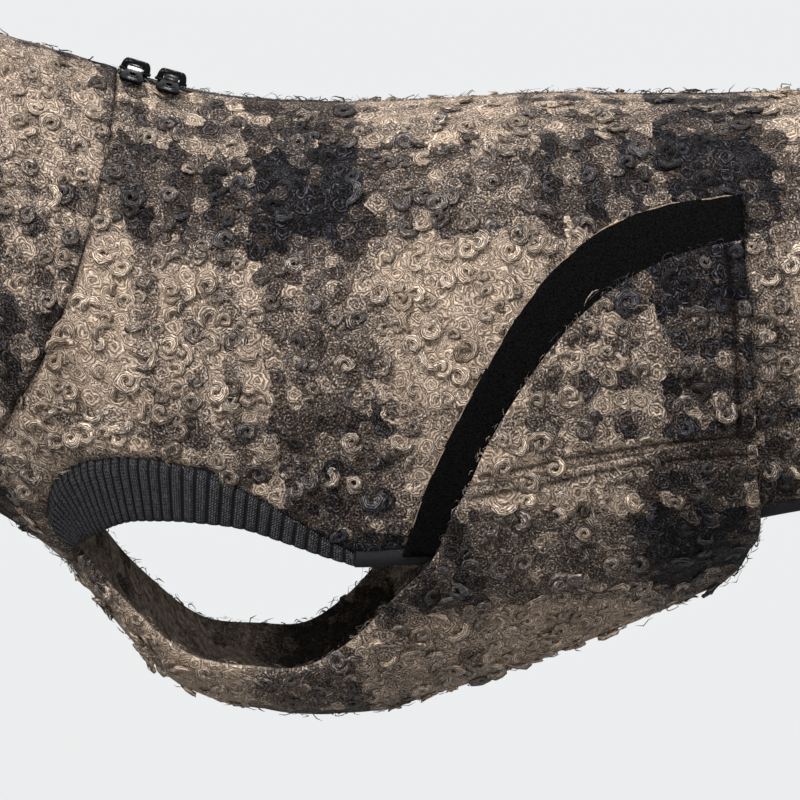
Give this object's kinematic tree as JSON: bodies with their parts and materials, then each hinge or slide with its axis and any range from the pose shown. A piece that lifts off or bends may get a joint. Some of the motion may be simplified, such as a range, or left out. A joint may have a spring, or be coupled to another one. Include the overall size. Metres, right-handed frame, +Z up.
{
  "type": "dog coat",
  "caption": "Worn dog coat of curly boucle wool in a large plaid, with a tube collar, ribbed leg cuffs, a belly panel whose flaps close on curved loop tape, and a lead zip in the back.",
  "frame": {"origin": "on the inner face of the back, on the spine over the chest, where the wearer's back holds the coat up", "axes": "+X from the collar to the tail end, +Z up, -Y the near side, with the zip's pull tabs hanging to it"},
  "size_m": [0.529, 0.1876, 0.2901],
  "materials": {
    "boucle_wool": "curly boucle wool in a plaid of charcoal, grey-brown and beige",
    "rib_knit": "charcoal rib knit",
    "binding": "smooth dark binding",
    "loop_tape": "black loop pile",
    "zip_tape": "black woven zip tape",
    "zip_teeth": "black coil",
    "zip_metal": "glossy black metal"
  },
  "bodies": {
    "coat": {"belly_panel": "boucle_wool", "binding_left": "binding", "binding_right": "binding", "body_left": "boucle_wool", "body_right": "boucle_wool", "collar": "boucle_wool", "cuff_left": "rib_knit", "cuff_right": "rib_knit", "loop_tape_left": "loop_tape", "loop_tape_right": "loop_tape", "slider_front": "zip_metal", "slider_rear": "zip_metal", "wing_left": "boucle_wool", "wing_right": "boucle_wool", "zip_chain_front": "zip_teeth", "zip_chain_rear": "zip_teeth", "zip_tape_left": "zip_tape", "zip_tape_right": "zip_tape"},
    "front_pull": {"pull_front": "zip_metal"},
    "rear_pull": {"pull_rear": "zip_metal"}
  },
  "joints": [
    {"name": "front_pull_swing", "type": "hinge", "parent": "coat", "child": "front_pull", "pos_m": [-0.10418, 0, 0.01713], "axis": [-0.9576, 0, 0.2881], "range_deg": [0, 222]},
    {"name": "rear_pull_swing", "type": "hinge", "parent": "coat", "child": "rear_pull", "pos_m": [-0.08998, 0, 0.01305], "axis": [-0.9634, 0, 0.268], "range_deg": [0, 222]}
  ]
}
